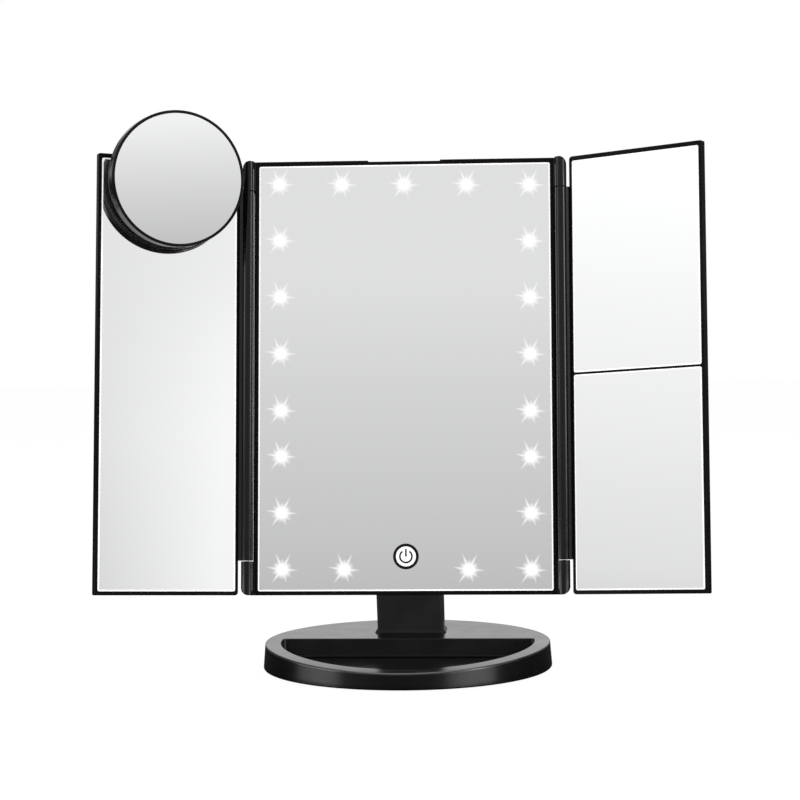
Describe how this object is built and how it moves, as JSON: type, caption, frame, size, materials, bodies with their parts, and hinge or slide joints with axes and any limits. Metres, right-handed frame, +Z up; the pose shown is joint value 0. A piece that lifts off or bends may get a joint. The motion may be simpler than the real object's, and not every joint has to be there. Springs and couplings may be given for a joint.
{
  "type": "trifold vanity mirror",
  "caption": "Tabletop trifold mirror: tilting lit centre mirror, two folding wings, lift-off magnifying mirror, round base with a tray.",
  "frame": {"origin": "centre of the base's resting face, on the table", "axes": "+Z up, +X to the viewer's right when facing the mirror, +Y to the back of the mirror"},
  "size_m": [0.3324, 0.161, 0.3101],
  "materials": {
    "gloss_black_plastic": "gloss",
    "satin_black_plastic": "satin",
    "mirror": "polished",
    "rubber": "matte",
    "steel": "brushed",
    "washer_plastic": "satin",
    "circuit_board": "satin",
    "lamp": "gloss",
    "copper": "satin",
    "contact_foam": "matte",
    "cell": "gloss"
  },
  "bodies": {
    "base": {"base_shell": "gloss_black_plastic", "base_bottom_cover": "satin_black_plastic", "base_weight": "steel", "anti_slip_pad": "rubber", "base_screws": "steel", "neck_front_shell": "satin_black_plastic", "neck_rear_cover": "satin_black_plastic", "neck_cover_screws": "steel", "neck_base_screws": "steel"},
    "head": {"hinge_bracket": "steel", "bracket_screws": "steel", "tilt_bolt": "steel", "friction_washers": "washer_plastic", "spring_washer": "steel", "tilt_nut": "steel", "centre_frame": "gloss_black_plastic", "centre_rear_cover": "satin_black_plastic", "rear_cover_screws": "steel", "centre_glass": "mirror", "led_board": "circuit_board", "led_lamps": "lamp", "touch_pad": "copper", "touch_contact": "contact_foam", "control_board": "circuit_board", "usb_socket": "steel", "battery_cells": "cell", "battery_springs": "steel", "battery_contacts": "steel", "left_hinge_pins": "steel", "right_hinge_pins": "steel"},
    "door": {"battery_door": "satin_black_plastic"},
    "left_wing": {"left_wing_frame": "gloss_black_plastic", "left_wing_back": "satin_black_plastic", "left_wing_glass": "mirror"},
    "right_wing": {"right_wing_frame": "gloss_black_plastic", "right_wing_back": "satin_black_plastic", "right_glass_upper": "mirror", "right_glass_lower": "mirror"},
    "magnifier": {"magnifier_ring": "gloss_black_plastic", "magnifier_glass": "mirror", "magnifier_back": "satin_black_plastic", "suction_cup": "rubber"}
  },
  "joints": [
    {"name": "head_tilt", "type": "hinge", "parent": "base", "child": "head", "pos_m": [0, 0.01824, 0.0715], "axis": [1, 0, 0], "range_deg": [-81.8, 23.2]},
    {"name": "left_wing_hinge", "type": "hinge", "parent": "head", "child": "left_wing", "pos_m": [-0.0874, -0.01948, 0.04461], "axis": [0, 0.1426, 0.9898], "range_deg": [-22.5, 75]},
    {"name": "right_wing_hinge", "type": "hinge", "parent": "head", "child": "right_wing", "pos_m": [0.0874, -0.01948, 0.04461], "axis": [0, -0.1426, -0.9898], "range_deg": [-28.5, 151.5]},
    {"name": "magnifier_pull", "type": "slide", "parent": "left_wing", "child": "magnifier", "axis": [0.3827, -0.9144, 0.1318], "range_m": [0, 0.015]},
    {"name": "battery_door_pull", "type": "slide", "parent": "head", "child": "door", "axis": [0, 0.9898, -0.1426], "range_m": [0, 0.02]}
  ]
}
